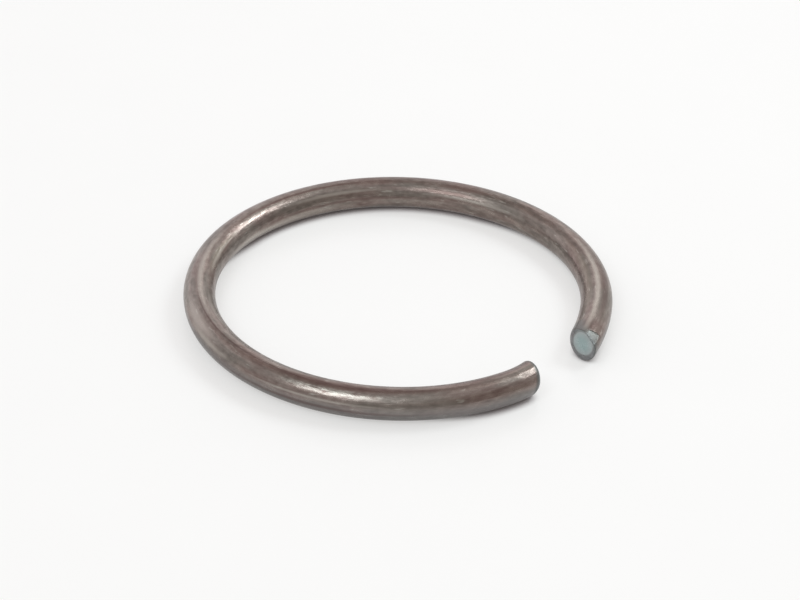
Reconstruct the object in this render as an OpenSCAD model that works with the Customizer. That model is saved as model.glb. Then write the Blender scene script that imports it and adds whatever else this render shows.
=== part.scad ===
// Round wire snap ring: one length of round spring wire, coiled into an open ring and sheared off at both ends.
// The ring lies flat. Its axis is Z, it rests on z = 0, and the gap faces -Y. Millimetres and degrees.

/* [Wire] */
// Diameter of the spring wire
wire_d = 2; // [1.4:0.05:2.6]

/* [Ring] */
// Bend radius, from the ring's axis to the middle of the wire
bend_r = 12.5; // [10:0.25:20]
// Angle of the gap, between the middles of the two cut faces
gap_angle = 21.4; // [18:0.2:45]

/* [Right end, sprung open] */
// Length of the stretch that has opened out
right_len = 4.4; // [2:0.1:6]
// Bend radius of that stretch
right_bend_r = 17.5; // [10:0.5:40]
// Slant of the cut: how far its face turns towards the ring's axis
right_slant = 20; // [-22:1:22]
// Tilt of the cut: how far its face turns up
right_tilt = 8; // [-12:1:12]
// Radius of the flat of the cut face
right_flat_r = 0.76; // [0.6:0.01:0.85]
// Radius of the edge round that flat
right_edge_r = 0.5; // [0.1:0.01:0.6]
// How far that flat lies off the middle of the wire, away from the ring's axis
right_shift_out = 0.08; // [-0.2:0.01:0.2]
// How far that flat lies above the middle of the wire
right_shift_up = 0.18; // [-0.2:0.01:0.2]

/* [Left end, pressed in] */
// Length of the stretch that the shear has pressed towards the ring's axis
left_len = 1.8; // [1:0.1:4]
// Bend radius of that stretch
left_bend_r = 6.2; // [4:0.2:20]
// Slant of the cut: how far its face turns towards the ring's axis
left_slant = -17; // [-22:1:22]
// Tilt of the cut: how far its face turns up
left_tilt = -8; // [-12:1:12]
// Radius of the flat of the cut face
left_flat_r = 0.8; // [0.6:0.01:0.85]
// Radius of the edge round that flat
left_edge_r = 0.2; // [0.1:0.01:0.6]
// How far that flat lies off the middle of the wire, away from the ring's axis
left_shift_out = 0; // [-0.2:0.01:0.2]
// How far that flat lies above the middle of the wire
left_shift_up = 0; // [-0.2:0.01:0.2]

/* [Wall behind the edge of a cut face] */
// Angle between the wall and the line square to the face
wall_angle = 40; // [38:1:50]

/* [Rubbed flat beside the right cut face] */
// Depth of the flat
rub_depth = 0.08; // [0.02:0.01:0.15]
// Length of the flat, back from the middle of the cut
rub_len = 0.62; // [0.4:0.02:1.2]
// Slant of the step at the back of the flat
rub_slant = 22; // [-30:1:30]
// Place of the flat round the wire, from the outside of the ring upwards
rub_turn = 52; // [0:1:90]

/* [Hidden] */
$fn = 96;
wire_r = wire_d / 2;
// Wire past the middle of each cut, which the cut takes off
stock = wire_r;

// Angle that an end stretch turns through at its own bend radius
function turn(radius, len) = len / radius * 180 / PI;

// Angle that an end stretch takes up, seen from the ring's axis
function seen(radius, len) =
    atan2(radius * sin(turn(radius, len)), bend_r - radius + radius * cos(turn(radius, len)));

right_seen = seen(right_bend_r, right_len);
left_seen = seen(left_bend_r, left_len);
// Half of the angle that the coil leaves open for the gap and both end stretches
coil_start = (gap_angle + right_seen + left_seen) / 2;

// Wire bent to an arc in the XY plane, from the X axis round to the given angle
module bent_wire(radius, angle) {
    rotate_extrude(angle = angle)
        translate([radius, 0])
            circle(r = wire_r);
}

// Turns its children so that an end stretch leaves the coil on the X axis. The right end is built this
// way round, and the left end is its mirror image.
module at_coil_start() {
    rotate([0, 0, coil_start - 90])
        children();
}

// Half of the coil and one end stretch, with the stock that its cut takes off
module half_ring(radius, len) {
    at_coil_start() {
        bent_wire(bend_r, 180);
        translate([bend_r - radius, 0, 0])
            bent_wire(radius, -turn(radius, len + stock));
    }
}

// Places its children at the middle of a cut: X away from the ring's axis, Y up, Z out of the wire
module at_cut(radius, len) {
    at_coil_start()
        translate([bend_r - radius, 0, 0])
            rotate([0, 0, -turn(radius, len)])
                translate([radius, 0, 0])
                    rotate([90, 0, 0])
                        children();
}

// Half section of a cut end: the flat of the face, a round edge and the wall behind it
module face_section(flat_r, edge_r, depth) {
    edge_end = [flat_r + edge_r * cos(wall_angle), edge_r * (sin(wall_angle) - 1)];
    wall_end = [edge_end[0] + (depth + edge_end[1]) * tan(wall_angle), -depth];
    polygon([[0, 0], [flat_r, 0], edge_end, wall_end, [0, -depth]]);
    translate([flat_r, -edge_r])
        intersection() {
            circle(r = edge_r);
            square(edge_r);
        }
}

// What a cut takes off: all of the wire outside the flat, its edge and the wall
module cut_off(slant, tilt, shift, flat_r, edge_r) {
    translate(shift)
        rotate([-tilt, -slant, 0])
            difference() {
                translate([0, 0, -wire_d])
                    cylinder(r = wire_d * 2, h = wire_d + stock * 2);
                rotate_extrude()
                    face_section(flat_r, edge_r, wire_d * 2);
            }
}

// What the shear rubbed off beside the right cut face: a shallow flat that ends in a slanted step
module rubbed_off() {
    rotate([0, 0, rub_turn])
        translate([wire_r - rub_depth, 0, -rub_len])
            rotate([rub_slant, 0, 0])
                translate([0, -wire_d, 0])
                    cube(wire_d * 2);
}

module snap_ring() {
    color([0.42, 0.37, 0.34])
        translate([0, 0, wire_r])
            rotate([0, 0, (right_seen - left_seen) / 2])
                difference() {
                    union() {
                        half_ring(right_bend_r, right_len);
                        mirror([1, 0, 0])
                            half_ring(left_bend_r, left_len);
                    }
                    at_cut(right_bend_r, right_len) {
                        cut_off(
                            right_slant, right_tilt, [right_shift_out, right_shift_up, 0],
                            right_flat_r, right_edge_r
                        );
                        rubbed_off();
                    }
                    mirror([1, 0, 0])
                        at_cut(left_bend_r, left_len)
                            cut_off(
                                left_slant, left_tilt, [left_shift_out, left_shift_up, 0],
                                left_flat_r, left_edge_r
                            );
                }
}

snap_ring();
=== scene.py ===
import math

import bpy
import numpy as np
from mathutils import Matrix, Vector


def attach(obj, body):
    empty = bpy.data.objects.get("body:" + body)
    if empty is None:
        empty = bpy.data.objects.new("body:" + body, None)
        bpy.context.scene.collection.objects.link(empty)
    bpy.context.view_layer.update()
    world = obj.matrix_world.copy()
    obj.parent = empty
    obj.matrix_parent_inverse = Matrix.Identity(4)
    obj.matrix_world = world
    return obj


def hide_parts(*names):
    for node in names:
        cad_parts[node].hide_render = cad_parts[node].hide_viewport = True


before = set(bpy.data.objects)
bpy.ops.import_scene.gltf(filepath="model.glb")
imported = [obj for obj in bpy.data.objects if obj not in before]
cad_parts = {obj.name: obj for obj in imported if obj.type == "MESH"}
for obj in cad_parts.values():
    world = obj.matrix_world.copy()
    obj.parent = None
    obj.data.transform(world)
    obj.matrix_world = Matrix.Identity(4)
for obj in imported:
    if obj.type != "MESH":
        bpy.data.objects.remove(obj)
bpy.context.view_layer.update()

# Sizes of the ring in millimetres and degrees, as in the solid that it replaces.
MM = 0.001
WIRE_R = 1.0
BEND_R = 12.5
GAP_ANGLE = 21.4
WALL_ANGLE = 40.0
RIGHT_END = {
    "length": 4.4, "bend_r": 17.5, "slant": 20.0, "tilt": 8.0,
    "flat_r": 0.76, "edge_r": 0.5, "shift": (0.08, 0.18), "rubbed": True, "stain": 0.7,
}
LEFT_END = {
    "length": 1.8, "bend_r": 6.2, "slant": -17.0, "tilt": -8.0,
    "flat_r": 0.8, "edge_r": 0.2, "shift": (0.0, 0.0), "rubbed": False, "stain": 0.2,
}
RUB_DEPTH = 0.08
RUB_LENGTH = 0.62
RUB_SLANT = 22.0
RUB_TURN = 52.0
NEVER_RUBBED = -9.0

# The mesh: points round the wire, sections along the coil, and rings on the side and on the face of each end.
# An end's part of the mesh reaches END_REACH back from its tip, and its creases are rounded over CREASE.
POINTS_ROUND = 160
COIL_SECTIONS = 250
END_SIDE_RINGS = 60
END_FACE_RINGS = 100
END_REACH = 1.5
CREASE = 0.09
LONGEST_RAY = 3.0
HALVINGS = 34

# Over how many millimetres the marks of the cut, of its flat and of the rubbed flat fade at their borders.
CUT_BORDER = 0.04
FLAT_BORDER = 0.12
RUB_BORDER = 0.02

# Stains, streaks and the polished place on the straight wire: distance from the right cut, angle round the wire,
# half length and half width. Then the share of its colour that the middle of each kind has. Some of these marks
# are painted light and shade: the warm and dark ones round 82 degrees paint a dark reddish reflection of the
# room overhead, the pale streaks at -157 and -167 degrees paint a reflection of the lit floor, and several
# other pale streaks paint sheen.
WARM_STAINS_AND_REFLECTION = [(33.5, 104, 13.0, 0.16), (61.5, 82, 7.0, 0.5), (70.5, 118, 4.0, 0.25)]
DARK_STAINS_AND_REFLECTIONS = [
    (52.0, 82, 8.0, 0.07), (64.0, 82, 9.5, 0.27), (32.5, 103, 7.5, 0.15), (59.5, -9, 9.0, 0.16),
    (26.0, 84, 10.0, 0.3), (27.0, 173, 6.5, 0.16), (5.0, 60, 6.0, 0.3), (0.0, 150, 0.6, 0.45),
    (70.5, 98, 3.5, 0.2), (1.0, 72, 0.9, 0.3), (74.1, 0, 0.5, 0.75), (23.2, 138, 4.8, 0.22), (32.5, 176, 3.5, 0.16),
]
OLIVE_STAINS = [(6.0, 124, 7.0, 0.4), (42.0, 128, 3.0, 0.25)]
PALE_STREAKS_AND_SHEEN = [
    (36.0, -157, 7.5, 0.46), (38.5, -167, 3.0, 0.3), (45.2, 91, 6.5, 0.24), (5.2, 88, 7.0, 0.24),
    (20.2, 152, 4.5, 0.15), (30.5, 141, 4.0, 0.14), (60.2, 18, 5.0, 0.1), (50.2, 46, 3.0, 0.45),
    (52.0, 24, 2.6, 0.22), (50.3, 121, 3.0, 0.18), (42.4, 133, 2.6, 0.14),
]
POLISHED = (61.3, 52, 3.6, 0.3)
DARK_SHARE = 0.55
OLIVE_SHARE = 0.45
PALE_SHARE = 0.8
POLISHED_SHARE = 0.75

# Colours of the wire: its oxide, plain and warm, the same worn thin, dark, olive and pale marks on it, some of
# which are painted reflection and sheen, bare steel, a greyer low outer side, the painted shade of the
# underside, and the tint behind the cuts.
OXIDE, WARM_OXIDE = (0.172, 0.149, 0.132), (0.175, 0.124, 0.111)
WORN, WARM_WORN = (0.298, 0.259, 0.232), (0.293, 0.236, 0.212)
DARK_RUST_AND_REFLECTION = (0.117, 0.073, 0.065)
OLIVE = (0.25, 0.225, 0.176)
PALE = (0.4, 0.36, 0.322)
BARE = (0.5, 0.48, 0.43)
LOW_SIDE = (0.212, 0.208, 0.212)
UNDERSIDE_PAINTED_SHADE = (0.14, 0.125, 0.13)
BEHIND_CUT = (0.15, 0.152, 0.145)

# Colours of the cuts: the face at its margin and its heart, the rounded rim with painted shade low down and
# painted light on top, the rubbed flat with painted shade by the cut and a painted highlight on its step, and
# the painted shade in the creases between them.
FACE_MARGIN = (0.41, 0.407, 0.41)
FACE_HEART, FACE_HEART_LIGHT = (0.3, 0.39, 0.39), (0.36, 0.43, 0.43)
RIM_PAINTED_SHADE, RIM, RIM_PAINTED_LIGHT = (0.18, 0.183, 0.185), (0.24, 0.24, 0.246), (0.3, 0.325, 0.32)
RUBBED, RUBBED_PAINTED_SHADE_BY_CUT, RUB_STEP_PAINTED_HIGHLIGHT = (0.32, 0.33, 0.317), (0.17, 0.18, 0.18), (0.38, 0.39, 0.37)
CREASE_SHADE = (0.11, 0.112, 0.112)

# The floor: half its width in metres, its colours, the colour of its painted contact shadow, and how far that
# painted shadow reaches.
FLOOR_HALF = 1.2
CARD, CARD_LIGHT = (0.855, 0.848, 0.836), (0.885, 0.878, 0.866)
PAINTED_CONTACT_SHADOW = (0.5, 0.455, 0.46)
CONTACT_REACH = 0.0007
OWN_WHITE = (0.995, 0.99, 0.98)
LOOKING_RAYS = ("Is Camera Ray", "Is Glossy Ray", "Is Transmission Ray")

# Lamps: name, azimuth, elevation, width and height in degrees, and brightness of the surface, where 1 is white.
LAMPS = [
    ("lamp_right", 60.0, 45.0, 22.0, 19.0, 6.9),
    ("lamp_left", -143.0, 53.0, 32.0, 28.0, 2.4),
]
LAMP_COLOUR = (0.92, 1.0, 1.04)
LAMP_DISTANCE = 0.5

# Tones of the room: azimuth, elevation, angles within which a tone is full and outside which it has ended,
# and its colour.
ROOM_WALL = (0.72, 0.72, 0.72)
ROOM_TONES = [
    (-30, 14, 20, 60, (1.04, 1.0, 1.03)),
    (45, 6, 12, 40, (0.85, 0.83, 0.81)),
    (8, 30, 4, 15, (1.4, 1.4, 1.4)),
    (135, 12, 15, 55, (0.5, 0.465, 0.44)),
    (180, 8, 8, 35, (0.56, 0.545, 0.53)),
    (-25, 60, 8, 30, (0.55, 0.475, 0.46)),
    (40, 53, 5, 18, (1.05, 1.03, 1.0)),
]

# The camera of the photograph, in the picture's own axes, and the turn from these to the ring's.
VIEW_TURN = math.radians(-51.1)
LENS = 112.5
SENSOR_WIDTH = 36.0
CAMERA_PLACE = (-1.458, -133.454, 84.959)
CAMERA_RIGHT = (0.999824, 0.0, 0.018763)
CAMERA_UP = (-0.015843, 0.535735, 0.84424)
CAMERA_BACK = (-0.010052, -0.844388, 0.53564)


# Shapes

def seen_angle(end):
    """The angle that an end stretch takes up as seen from the ring's axis. The stretch bends through its
    length over its bend radius, which gives the place of its tip, and the angle is that of the tip."""
    bend = end["length"] / end["bend_r"]
    across = end["bend_r"] * math.sin(bend)
    along = BEND_R - end["bend_r"] + end["bend_r"] * math.cos(bend)
    return math.atan2(across, along)


RIGHT_SEEN = seen_angle(RIGHT_END)
LEFT_SEEN = seen_angle(LEFT_END)
COIL_START = (math.radians(GAP_ANGLE) + RIGHT_SEEN + LEFT_SEEN) / 2
COIL_LENGTH = BEND_R * 2 * (math.pi - COIL_START)
WIRE_LENGTH = RIGHT_END["length"] + COIL_LENGTH + LEFT_END["length"]


def wire_frames(along):
    """Middle, outward and forward directions of the wire at distances from the right cut. The middle line
    is three arcs that meet at a tangent: the right stretch, the coil and the left stretch. A point on an
    arc is its bend centre plus its radius in the outward direction."""
    right_len, left_at = RIGHT_END["length"], RIGHT_END["length"] + COIL_LENGTH
    first = COIL_START - math.pi / 2
    on_right, on_left = along < right_len, along > left_at
    radius = np.where(on_right, RIGHT_END["bend_r"], np.where(on_left, LEFT_END["bend_r"], BEND_R))
    angle = np.where(
        on_left,
        math.pi - first + (along - left_at) / LEFT_END["bend_r"],
        first + (along - right_len) / radius,
    )
    lean = np.where(on_left, math.pi - first, first)
    offset = BEND_R - radius
    turn = (RIGHT_SEEN - LEFT_SEEN) / 2
    outward = np.stack([np.cos(angle + turn), np.sin(angle + turn), 0 * angle], -1)
    forward = np.stack([-np.sin(angle + turn), np.cos(angle + turn), 0 * angle], -1)
    centre = np.stack([offset * np.cos(lean + turn), offset * np.sin(lean + turn), WIRE_R + 0 * angle], -1)
    return centre + radius[..., None] * outward, outward, forward


def turned(points, angle, first, second):
    """Points turned by an angle in degrees in the plane of two of their axes."""
    c, s = math.cos(math.radians(angle)), math.sin(math.radians(angle))
    out = points.copy()
    out[..., first] = c * points[..., first] - s * points[..., second]
    out[..., second] = s * points[..., first] + c * points[..., second]
    return out


def beyond_wire(points, end):
    """Distance outside the bent wire: from the point to the arc of the wire's middle, less its radius."""
    from_centre = np.hypot(points[..., 0] + end["bend_r"], points[..., 2])
    return np.hypot(from_centre - end["bend_r"], points[..., 1]) - WIRE_R


def face_place(points, end):
    """The same points seen from the flat of the cut face: distance from its middle, and height above it."""
    seen = points - np.array([*end["shift"], 0.0])
    seen = turned(turned(seen, end["slant"], 2, 0), end["tilt"], 1, 2)
    return np.hypot(seen[..., 0], seen[..., 1]), seen[..., 2]


def beyond_face(points, end):
    """Distance outside the cut: above the flat, outside the arc of the edge, or outside the straight wall."""
    rho, height = face_place(points, end)
    wall = math.radians(WALL_ANGLE)
    x, y = rho - end["flat_r"], height + end["edge_r"]
    edge = np.hypot(x, y) - end["edge_r"]
    behind = x * math.cos(wall) + y * math.sin(wall) - end["edge_r"]
    return np.where(x <= 0, height, np.where(np.arctan2(y, x) >= wall, edge, behind))


def beyond_rub(points):
    """Distance into what was rubbed off: past the flat beside the face, and past its slanted step."""
    seen = turned(points, -RUB_TURN, 0, 1) - np.array([WIRE_R - RUB_DEPTH, 0.0, -RUB_LENGTH])
    seen = turned(seen, -RUB_SLANT, 1, 2)
    return np.minimum(seen[..., 0], seen[..., 2])


def softened(a, b):
    """The larger of two distances, with a small round along the line where they are equal."""
    near = np.maximum(CREASE - np.abs(a - b), 0) / CREASE
    return np.maximum(a, b) + near * near * CREASE / 4


def end_distances(points, end):
    """The distances outside the wire, the cut and the rubbed flat, at an end's own points."""
    rub = beyond_rub(points) if end["rubbed"] else np.full(points.shape[:-1], NEVER_RUBBED)
    return beyond_wire(points, end), beyond_face(points, end), rub


def end_surface(end):
    """Rings of points on a cut end, from its tip back to a section of the wire. Straight lines leave the
    middle of that section in all forward directions, and each is halved again and again until it stands
    on the surface. The frame is the cut's: X away from the ring's axis, Y up, Z out of the wire."""
    back = END_REACH / end["bend_r"]
    start = np.array([end["bend_r"] * (math.cos(back) - 1), 0.0, -end["bend_r"] * math.sin(back)])
    ahead = np.array([math.sin(back), 0.0, math.cos(back)])
    across = np.array([math.cos(back), 0.0, -math.sin(back)])
    up = np.array([0.0, 1.0, 0.0])
    on_face = np.arctan2(WIRE_R * np.arange(1, END_FACE_RINGS + 1) / END_FACE_RINGS, END_REACH)
    on_side = np.arctan2(WIRE_R, END_REACH * np.arange(END_SIDE_RINGS - 1, -1, -1) / END_SIDE_RINGS)
    lean = np.concatenate([[0.0], on_face, on_side])[:, None, None]
    turn = (2 * math.pi * np.arange(POINTS_ROUND) / POINTS_ROUND)[None, :, None]
    rays = np.cos(lean) * ahead + np.sin(lean) * (np.cos(turn) * across + np.sin(turn) * up)
    low, high = np.zeros(rays.shape[:2]), np.full(rays.shape[:2], LONGEST_RAY)
    for _ in range(HALVINGS):
        middle = (low + high) / 2
        wire, face, rub = end_distances(start + middle[..., None] * rays, end)
        inside = softened(softened(wire, face), rub) < 0
        low, high = np.where(inside, middle, low), np.where(inside, high, middle)
    return start + low[..., None] * rays


def share(more, less, width):
    """1 where the first distance is the larger, 0 where it is the smaller, over a soft band."""
    return np.clip(0.5 + (more - less) / width, 0, 1)


def end_marks(points, end):
    """Where the flat of the cut, its rounded edge and the rubbed flat lie, how near the cut is, and where the
    creases between these lie, each from 0 to 1. Nearness is 1 at the cut and falls to 0 at the length of its
    stain behind it."""
    wire, face, rub = end_distances(points, end)
    rho, _ = face_place(points, end)
    cut = share(face, np.maximum(wire, rub), CUT_BORDER)
    flat = share(end["flat_r"], rho, FLAT_BORDER)
    rubbed = share(rub, np.maximum(wire, face), RUB_BORDER) if end["rubbed"] else 0 * cut
    near = np.clip(1 + face / end["stain"], 0, 1)
    ranked = np.sort(np.stack([wire, face, rub]), axis=0)
    crease = np.clip(1.5 - (ranked[-1] - ranked[-2]) / CREASE, 0, 1)
    return np.stack([cut * flat, cut * (1 - flat), rubbed, near, crease], -1)


def unbent(points, end, at_left):
    """The place of an end's points on the wire as if it were straight: distance along it from the right
    cut, then outward and upward from its middle."""
    back = -end["bend_r"] * np.arctan2(points[..., 2], points[..., 0] + end["bend_r"])
    along = WIRE_LENGTH - back if at_left else back
    outward = np.hypot(points[..., 0] + end["bend_r"], points[..., 2]) - end["bend_r"]
    return np.stack([along, outward, points[..., 1]], -1)


def placed_end(end, at_left):
    """An end's rings in the ring's own frame, with their marks and their places on the straight wire."""
    local = end_surface(end)
    middle, outward, forward = (v[0] for v in wire_frames(np.array([WIRE_LENGTH if at_left else 0.0])))
    out_of_wire = forward if at_left else -forward
    axes = np.stack([outward, np.array([0.0, 0.0, 1.0]), out_of_wire])
    return middle + local @ axes, end_marks(local, end), unbent(local, end, at_left)


def coil_surface():
    """Sections of round wire square to its middle line: middle + radius (cos turn outward + sin turn up)."""
    along = np.linspace(END_REACH, WIRE_LENGTH - END_REACH, COIL_SECTIONS + 2)[1:-1]
    turn = 2 * math.pi * np.arange(POINTS_ROUND) / POINTS_ROUND
    middle, outward, _ = wire_frames(along)
    up = np.array([0.0, 0.0, 1.0])
    rim = np.cos(turn)[None, :, None] * outward[:, None] + np.sin(turn)[None, :, None] * up
    flat_wire = np.stack(np.broadcast_arrays(along[:, None], WIRE_R * np.cos(turn), WIRE_R * np.sin(turn)), -1)
    return middle[:, None] + WIRE_R * rim, np.zeros((*rim.shape[:2], 5)), flat_wire


def grid_faces(rows, columns):
    """Quads of a grid that closes on itself round the columns, and a fan of triangles at each pole. The
    poles are the last two points."""
    ring = np.arange(columns)
    after = (ring + 1) % columns
    low = np.arange(rows - 1)[:, None] * columns
    quads = np.stack([low + ring, low + columns + ring, low + columns + after, low + after], -1).reshape(-1, 4)
    last = (rows - 1) * columns
    first_pole = np.stack([np.full(columns, rows * columns), ring, after], -1)
    last_pole = np.stack([np.full(columns, rows * columns + 1), last + after, last + ring], -1)
    return quads.tolist() + first_pole.tolist() + last_pole.tolist()


def wire_ring():
    """The whole ring as one closed surface: right end, coil, left end. Each end's tip ring, which has no
    width, becomes one pole."""
    right = placed_end(RIGHT_END, False)
    left = placed_end(LEFT_END, True)
    coil = coil_surface()
    layers = [np.concatenate([r[1:], c, l[1:][::-1]]) for r, c, l in zip(right, coil, left)]
    poles = [np.stack([r[0, 0], l[0, 0]]) for r, l in zip(right, left)]
    points, marks, places = (
        np.concatenate([layer.reshape(-1, layer.shape[-1]), pole]) for layer, pole in zip(layers, poles)
    )
    mesh = bpy.data.meshes.new("spring_wire_ring")
    mesh.from_pydata((points * MM).tolist(), [], grid_faces(len(layers[0]), POINTS_ROUND))
    for name, values in (("wire_place", places), ("end_marks", marks[:, :3])):
        mesh.attributes.new(name, "FLOAT_VECTOR", "POINT").data.foreach_set("vector", values.ravel())
    for name, values in (("near_cut", marks[:, 3]), ("crease", marks[:, 4])):
        mesh.attributes.new(name, "FLOAT", "POINT").data.foreach_set("value", values.copy())
    mesh.shade_smooth()
    mesh.update()
    piece = bpy.data.objects.new("spring_wire_ring", mesh)
    bpy.context.collection.objects.link(piece)
    return piece


def floor_sheet():
    """A flat square sheet under the ring, at height 0."""
    corners = [(x * FLOOR_HALF, y * FLOOR_HALF, 0) for x, y in ((-1, -1), (1, -1), (1, 1), (-1, 1))]
    mesh = bpy.data.meshes.new("floor")
    mesh.from_pydata(corners, [], [(0, 1, 2, 3)])
    sheet = bpy.data.objects.new("floor", mesh)
    bpy.context.collection.objects.link(sheet)
    return sheet


# Finishes

class Term:
    """A shader socket that takes part in sums. Each operator adds one Math node."""

    def __init__(self, nodes, socket):
        self.nodes, self.socket = nodes, socket

    def _math(self, operation, first, second):
        return self.nodes.add("Math", {"operation": operation}, {0: first, 1: second})

    def __add__(self, other):
        return self._math("ADD", self, other)

    def __radd__(self, other):
        return self._math("ADD", other, self)

    def __sub__(self, other):
        return self._math("SUBTRACT", self, other)

    def __rsub__(self, other):
        return self._math("SUBTRACT", other, self)

    def __mul__(self, other):
        return self._math("MULTIPLY", self, other)

    def __rmul__(self, other):
        return self._math("MULTIPLY", other, self)


class Nodes:
    """The nodes of one material or world."""

    def __init__(self, owner):
        owner.use_nodes = True
        self.tree = owner.node_tree
        self.tree.nodes.clear()

    def add(self, kind, settings=None, sockets=None, result=0):
        """One node: its type, its settings, and the values or links of its sockets. Gives the wanted output."""
        node = self.tree.nodes.new("ShaderNode" + kind)
        for name, value in (settings or {}).items():
            setattr(node, name, value)
        for name, value in (sockets or {}).items():
            if isinstance(value, Term):
                self.tree.links.new(value.socket, node.inputs[name])
            else:
                node.inputs[name].default_value = value
        return Term(self, node.outputs[result]) if node.outputs else None

    def band(self, value, low, high, start=0.0, end=1.0):
        """A value carried from one range to another and held at its ends."""
        return self.add(
            "MapRange", {"clamp": True},
            {"Value": value, "From Min": low, "From Max": high, "To Min": start, "To Max": end},
        )

    def mixed(self, share_of_second, first, second):
        """A colour between two."""
        return self.add(
            "Mix", {"data_type": "RGBA", "clamp_factor": True},
            {0: share_of_second, 6: colour(first), 7: colour(second)}, result=2,
        )

    def stretched(self, vector, factors):
        """A vector with each part multiplied by its own factor."""
        return self.add("VectorMath", {"operation": "MULTIPLY"}, {0: vector, 1: factors})

    def parts(self, vector):
        """The three numbers of a vector."""
        node = self.add("SeparateXYZ", None, {0: vector}).socket.node
        return [Term(self, output) for output in node.outputs]

    def larger(self, first, second):
        """The larger of two numbers."""
        return self.add("Math", {"operation": "MAXIMUM"}, {0: first, 1: second})

    def noise(self, vector, factors, detail, roughness):
        """Noise whose grains are as many to a unit of each part of the vector as that part's factor."""
        return self.add("TexNoise", None, {
            "Vector": self.stretched(vector, factors),
            "Scale": 1.0,
            "Detail": detail,
            "Roughness": roughness,
        })

    def spot(self, place, middle, half_length, half_width):
        """1 in the middle of a long spot and 0 outside it, from the distance to its middle over its size."""
        offset = self.add("VectorMath", {"operation": "SUBTRACT"}, {0: place, 1: middle})
        scaled = self.stretched(offset, (1 / half_length, 1 / half_width, 1 / half_width))
        return self.band(self.add("VectorMath", {"operation": "LENGTH"}, {0: scaled}, result=1), 1.0, 0.3)

    def stained(self, shown, place, spots, strength, stain):
        """A colour with spots of another on it. The strength is the share of the stain in the middle of each."""
        for along, around, *size in spots:
            shown = self.mixed(self.spot(place, on_wire(along, around), *size) * strength, shown, stain)
        return shown

    def towards(self, direction, azimuth, elevation, inner, outer):
        """1 within the inner angle of a direction in the room, and 0 outside the outer one."""
        sockets = {0: direction, 1: aim(azimuth, elevation)}
        aimed = self.add("VectorMath", {"operation": "DOT_PRODUCT"}, sockets, result=1)
        return self.add(
            "MapRange", {"interpolation_type": "SMOOTHSTEP", "clamp": True},
            {"Value": aimed, "From Min": math.cos(math.radians(outer)), "From Max": math.cos(math.radians(inner))},
        )


def on_wire(along, around):
    """The place on the straight wire at a distance along it and an angle round it, 0 outward and 90 up."""
    a = math.radians(around)
    return along, math.cos(a), math.sin(a)


def colour(value):
    """A colour as a socket takes it: a link as it is, and three numbers with an opacity of 1."""
    return value if isinstance(value, Term) else (*value, 1.0)


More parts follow.
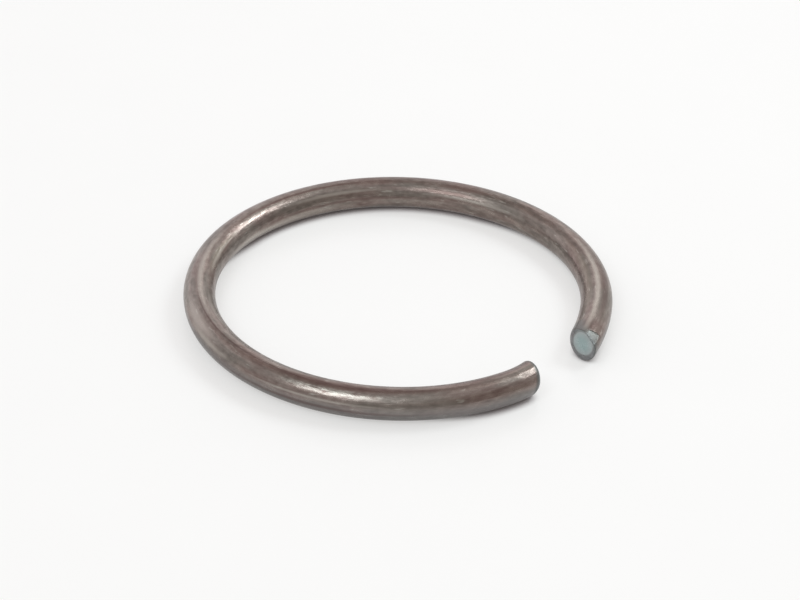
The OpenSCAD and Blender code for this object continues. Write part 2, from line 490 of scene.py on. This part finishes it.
def spring_wire_finish():
    """Drawn spring wire with a brownish grey oxide: lines along the wire, warm, olive, dark and pale places,
    a polished streak and small bare scratches, greyer low down and behind the cuts. Some warm, dark and pale
    places are painted reflection and sheen, and the underside is painted darker as shade. The cut faces are
    bare blue-grey steel; their rims are painted darker low down and lighter on top, and the rubbed flat and
    the creases carry painted shade and a painted highlight. Everything is placed on the straight wire: along,
    outward and up."""
    material = bpy.data.materials.new("drawn_spring_wire")
    n = Nodes(material)
    place = n.add("Attribute", {"attribute_name": "wire_place"}, result=1)
    near_cut = n.add("Attribute", {"attribute_name": "near_cut"}, result=2)
    crease = n.add("Attribute", {"attribute_name": "crease"}, result=2)
    flat, edge, rubbed = n.parts(n.add("Attribute", {"attribute_name": "end_marks"}, result=1))
    _, outward, height = n.parts(place)

    fine_lines = n.noise(place, (0.9, 6.0, 6.0), 3.0, 0.6)
    broad_lines = n.noise(place, (0.3, 2.6, 2.6), 2.0, 0.5)
    patches = n.noise(place, (0.3, 0.9, 0.9), 2.0, 0.5)
    mottle = n.noise(place, (1.8, 3.4, 3.4), 3.0, 0.55)
    scratches = n.band(n.noise(place, (1.0, 5.0, 5.0), 2.0, 0.5), 0.66, 0.74)
    face_grain = n.noise(place, (1.0, 2.0, 2.0), 3.0, 0.6)

    warm_tone_and_reflection = n.band(0.6 * patches + 0.4 * broad_lines, 0.42, 0.6)
    # Warm tone at random and warm stains; the stain round 82 degrees is a painted warm reflection of the room
    # overhead.
    for along, around, *size in WARM_STAINS_AND_REFLECTION:
        warm_tone_and_reflection = n.larger(warm_tone_and_reflection, n.spot(place, on_wire(along, around), *size))
    lightness = n.band(0.25 * fine_lines + 0.35 * broad_lines + 0.4 * mottle, 0.39, 0.61)
    side = n.mixed(lightness, n.mixed(warm_tone_and_reflection, OXIDE, WARM_OXIDE), n.mixed(warm_tone_and_reflection, WORN, WARM_WORN))
    side = n.stained(side, place, OLIVE_STAINS, OLIVE_SHARE, OLIVE)
    # Pale streaks: some are wear, the ones low on the inside are a painted reflection of the lit floor, and several
    # are painted sheen.
    side = n.stained(side, place, PALE_STREAKS_AND_SHEEN, PALE_SHARE, PALE)
    along, around, *size = POLISHED
    polish = n.spot(place, on_wire(along, around), *size)
    rubbed_bare = POLISHED_SHARE * polish * n.band(mottle, 0.35, 0.58)
    side = n.mixed(n.larger(0.5 * scratches, rubbed_bare), side, BARE)
    side = n.mixed(n.band(height, 0.4, -0.2) * n.band(outward, 0.3, 0.8) * 0.6, side, LOW_SIDE)
    # Painted shade: the underside of the wire is painted darker.
    side = n.mixed(n.band(height + 0.2 * mottle, -0.7, -0.95), side, UNDERSIDE_PAINTED_SHADE)
    side = n.mixed(n.band(near_cut + 0.35 * mottle, 0.35, 0.95) * 0.85, side, BEHIND_CUT)

    heart = n.spot(place, (0.0, 0.05, 0.15), 4.0, 1.0)
    face = n.mixed(heart, FACE_MARGIN, n.mixed(face_grain, FACE_HEART, FACE_HEART_LIGHT))
    # Painted light and shade on the rounded rim: lighter towards the top and outer side, darker low and inside,
    # broken up by mottle.
    rim = n.mixed(n.band(height + 0.4 * outward + 0.5 * mottle, 0.5, 1.1), RIM, RIM_PAINTED_LIGHT)
    rim_light_side_and_mottle = n.larger(n.band(mottle, 0.35, 0.6), n.band(height + 0.5 * outward, 0.1, 0.7))
    # Painted shade on the rubbed flat next to the cut, and a painted highlight along its step.
    rub = n.mixed(n.band(near_cut, 0.6, 1.0), RUBBED, RUBBED_PAINTED_SHADE_BY_CUT)
    rub = n.mixed(n.band(near_cut, 0.3, 0.12), rub, RUB_STEP_PAINTED_HIGHLIGHT)

    shown = n.mixed(edge, side, n.mixed(rim_light_side_and_mottle, RIM_PAINTED_SHADE, rim))
    # Dark rust stains; those round 82 degrees are a painted dark reflection of the room overhead.
    shown = n.stained(shown, place, DARK_STAINS_AND_REFLECTIONS, DARK_SHARE, DARK_RUST_AND_REFLECTION)
    shown = n.mixed(flat, shown, face)
    shown = n.mixed(rubbed, shown, rub)
    shown = n.mixed(crease * n.band(height, 0.3, 0.9, 0.45, 0.15), shown, CREASE_SHADE)

    relief = 0.13 * fine_lines + 0.52 * broad_lines + 0.35 * mottle
    relief = relief * (1.0 - 0.8 * n.larger(flat, rubbed))
    normal = n.add("Bump", None, {"Strength": 0.6, "Distance": 0.0001, "Height": relief})
    roughness = n.band(lightness, 0.0, 1.0, 0.34, 0.26) - 0.06 * polish + 0.15 * n.larger(rubbed, crease)
    n.add("OutputMaterial", None, {"Surface": n.add("BsdfPrincipled", None, {
        "Base Color": shown,
        "Metallic": 1.0,
        "Roughness": roughness,
        "Normal": normal,
    })})
    return material


def floor_finish():
    """Smooth white card. Half of what the camera sees of it is its own white, so that the shadow on it
    stays pale, apart from a painted contact shadow: a thin dark line where the ring touches it, painted into the
    card's colour where the Ambient Occlusion node finds the ring close, with the own white taken away there. As in
    the photograph, that painted line is missing at the near left and faint at the right."""
    material = bpy.data.materials.new("white_card")
    n = Nodes(material)
    place = n.add("TexCoord", result=3)
    clouds = n.noise(place, (90.0, 90.0, 90.0), 4.0, 0.6)
    outward = n.add("VectorMath", {"operation": "NORMALIZE"}, {0: place})
    # Painted contact shadow: the card's colour is painted darker where the Ambient Occlusion node finds the ring
    # close.
    sky = n.add("AmbientOcclusion", {"samples": 8}, {"Distance": CONTACT_REACH}, result="AO")
    # The directions added here leave the painted contact shadow out at the near left and make it faint at the
    # right.
    sky = sky + 0.8 * n.towards(outward, -130, 0, 44, 78) + 0.4 * n.towards(outward, 75, 0, 15, 50)
    clear_of_painted_contact_shadow = n.band(sky, 0.25, 0.75)
    shown = n.mixed(clear_of_painted_contact_shadow, PAINTED_CONTACT_SHADOW, n.mixed(clouds, CARD, CARD_LIGHT))
    card = n.add("BsdfPrincipled", None, {"Base Color": shown, "Roughness": 0.3})
    white = n.add("Emission", None, {"Color": colour(OWN_WHITE)})
    camera, glossy, through = (n.add("LightPath", result=name) for name in LOOKING_RAYS)
    # The own white gives way inside the painted contact shadow, so that its painted colour shows.
    own_white = 0.5 * camera * (0.03 + 0.97 * clear_of_painted_contact_shadow) + 0.32 * (glossy + through)
    n.add("OutputMaterial", None, {"Surface": n.add("MixShader", None, {0: own_white, 1: card, 2: white})})
    return material


# Light and camera

def picture_axes(vector):
    """A direction or place given in the picture's axes, turned to the ring's."""
    return Matrix.Rotation(VIEW_TURN, 3, "Z") @ Vector(vector)


def aim(azimuth, elevation):
    """The direction of an azimuth, 0 away from the camera and 90 to its right, and an elevation."""
    a, e = math.radians(azimuth), math.radians(elevation)
    return picture_axes((math.sin(a) * math.cos(e), math.cos(a) * math.cos(e), math.sin(e)))


def soft_lamp(name, azimuth, elevation, width, height, brightness):
    """A rectangular lamp at a distance from the ring, aimed at it, and as wide and high in degrees as it is
    asked to be from there: each side is twice the distance times the tangent of half the angle."""
    towards = aim(azimuth, elevation)
    lamp = bpy.data.lights.new(name, "AREA")
    lamp.shape = "RECTANGLE"
    lamp.size = 2 * LAMP_DISTANCE * math.tan(math.radians(width) / 2)
    lamp.size_y = 2 * LAMP_DISTANCE * math.tan(math.radians(height) / 2)
    lamp.energy = brightness * math.pi * lamp.size * lamp.size_y
    lamp.color = LAMP_COLOUR
    holder = bpy.data.objects.new(name, lamp)
    holder.location = towards * LAMP_DISTANCE
    holder.rotation_euler = towards.to_track_quat("Z", "Y").to_euler()
    bpy.context.collection.objects.link(holder)


def room_light():
    """A pale room: brighter beyond the ring, darker to the right of the camera and behind it, and with a
    brownish shade overhead."""
    world = bpy.data.worlds.new("pale_room")
    bpy.context.scene.world = world
    n = Nodes(world)
    direction = n.add("TexCoord", result=0)
    shown = ROOM_WALL
    for azimuth, elevation, inner, outer, tone in ROOM_TONES:
        shown = n.mixed(n.towards(direction, azimuth, elevation, inner, outer), shown, tone)
    n.add("OutputWorld", None, {"Surface": n.add("Background", None, {"Color": shown, "Strength": 1.0})})


def photo_camera():
    """The photograph's camera. Its matrix has the picture's right, up and back directions and its place as
    columns, all turned to the ring's axes."""
    lens = bpy.data.cameras.new("camera")
    lens.sensor_width = SENSOR_WIDTH
    lens.lens = LENS
    lens.clip_start = 0.001
    lens.clip_end = 10.0
    holder = bpy.data.objects.new("camera", lens)
    axes = Matrix([picture_axes(v) for v in (CAMERA_RIGHT, CAMERA_UP, CAMERA_BACK)]).transposed()
    holder.matrix_world = Matrix.Translation(picture_axes(CAMERA_PLACE) * MM) @ axes.to_4x4()
    bpy.context.collection.objects.link(holder)
    bpy.context.scene.camera = holder


photo_camera()

ring = wire_ring()
ring.data.materials.append(spring_wire_finish())
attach(ring, "root")
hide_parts("snap_ring")

floor = floor_sheet()
floor.data.materials.append(floor_finish())

for lamp in LAMPS:
    soft_lamp(*lamp)
room_light()
bpy.context.scene.view_settings.view_transform = "Standard"
